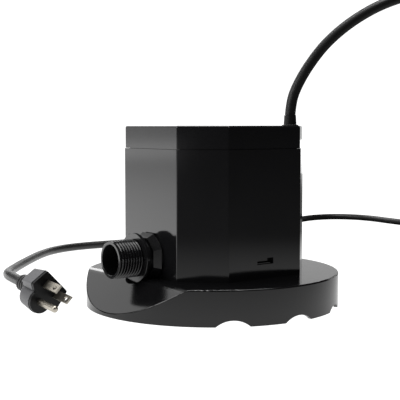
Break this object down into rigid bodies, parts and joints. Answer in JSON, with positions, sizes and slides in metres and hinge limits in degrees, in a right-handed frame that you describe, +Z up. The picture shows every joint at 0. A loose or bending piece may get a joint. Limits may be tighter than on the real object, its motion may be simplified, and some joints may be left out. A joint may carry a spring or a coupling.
{
  "type": "fountain submersible pump",
  "caption": "Submersible fountain pump: octagonal sealed motor housing on a round intake base, with a threaded hose outlet, a magnetic-drive rotor, and a power cord with a three-pin plug.",
  "frame": {"origin": "centre of the round base's underside, on the surface that the pump stands on", "axes": "+Z up out of the lid, -Y out of the threaded outlet, +X to the right when the outlet faces the viewer"},
  "size_m": [0.5496, 0.6862, 0.2352],
  "materials": {
    "housing_plastic": "glossy black ABS",
    "fitting_plastic": "glossy black moulded thread and nut",
    "strainer_plastic": "satin black",
    "chamber_plastic": "satin dark grey",
    "impeller_plastic": "satin light grey",
    "seal_rubber": "soft black",
    "screw_steel": "stainless",
    "core_steel": "laminated electrical steel",
    "ferrite": "ground dark ferrite",
    "ceramic": "polished white ceramic",
    "copper_wire": "enamelled copper",
    "bobbin_nylon": "natural nylon",
    "potting_resin": "cast black epoxy",
    "terminal_brass": "bright brass",
    "protector_white": "white phenolic",
    "lead_black": "satin",
    "lead_white": "satin",
    "lead_green": "satin",
    "cord_jacket": "smooth black cord jacket",
    "plug_grey": "satin grey moulded plug",
    "plug_black": "black moulded face and strain relief",
    "blade_nickel": "nickel-plated brass"
  },
  "bodies": {
    "pump": {"base_plate": "housing_plastic", "can_oring": "seal_rubber", "ceramic_shaft": "ceramic", "coil_bobbin_left": "bobbin_nylon", "coil_bobbin_right": "bobbin_nylon", "coil_winding_left": "copper_wire", "coil_winding_right": "copper_wire", "cord_crimp_ring": "screw_steel", "cord_gland": "seal_rubber", "cord_stub": "cord_jacket", "cord_tie": "cord_jacket", "housing_shell": "housing_plastic", "lead_ground": "lead_green", "lead_live": "lead_black", "lead_live_link": "lead_black", "lead_neutral": "lead_white", "lid": "housing_plastic", "outlet_adapter": "fitting_plastic", "outlet_gasket": "seal_rubber", "outlet_locknut": "fitting_plastic", "plug_blade_1": "blade_nickel", "plug_blade_2": "blade_nickel", "plug_body": "plug_grey", "plug_ground_pin": "blade_nickel", "plug_insert": "plug_black", "plug_strain_relief": "plug_black", "potting_resin": "potting_resin", "power_cord_coil": "cord_jacket", "power_cord_rise": "cord_jacket", "power_cord_run": "cord_jacket", "rotor_can": "chamber_plastic", "shaft_seat_lower": "seal_rubber", "shaft_seat_upper": "seal_rubber", "stator_core": "core_steel", "strainer_plate": "strainer_plastic", "strainer_screw_1": "screw_steel", "strainer_screw_2": "screw_steel", "strainer_screw_3": "screw_steel", "terminal_ground": "terminal_brass", "terminal_live": "terminal_brass", "terminal_neutral": "terminal_brass", "thermal_protector": "protector_white", "thrust_washer_lower": "ceramic", "thrust_washer_upper": "ceramic", "volute_casing": "chamber_plastic", "volute_cover": "chamber_plastic", "volute_oring": "seal_rubber", "volute_screw_1": "screw_steel", "volute_screw_2": "screw_steel", "volute_screw_3": "screw_steel", "volute_screw_4": "screw_steel"},
    "rotor": {"impeller": "impeller_plastic", "rotor_hub": "impeller_plastic", "rotor_magnet": "ferrite", "rotor_bush_lower": "ceramic", "rotor_bush_upper": "ceramic"}
  },
  "joints": [
    {"name": "rotor_spin", "type": "hinge", "parent": "pump", "child": "rotor", "pos_m": [0, 0, 0.064], "axis": [0, 0, 1], "continuous": true}
  ]
}
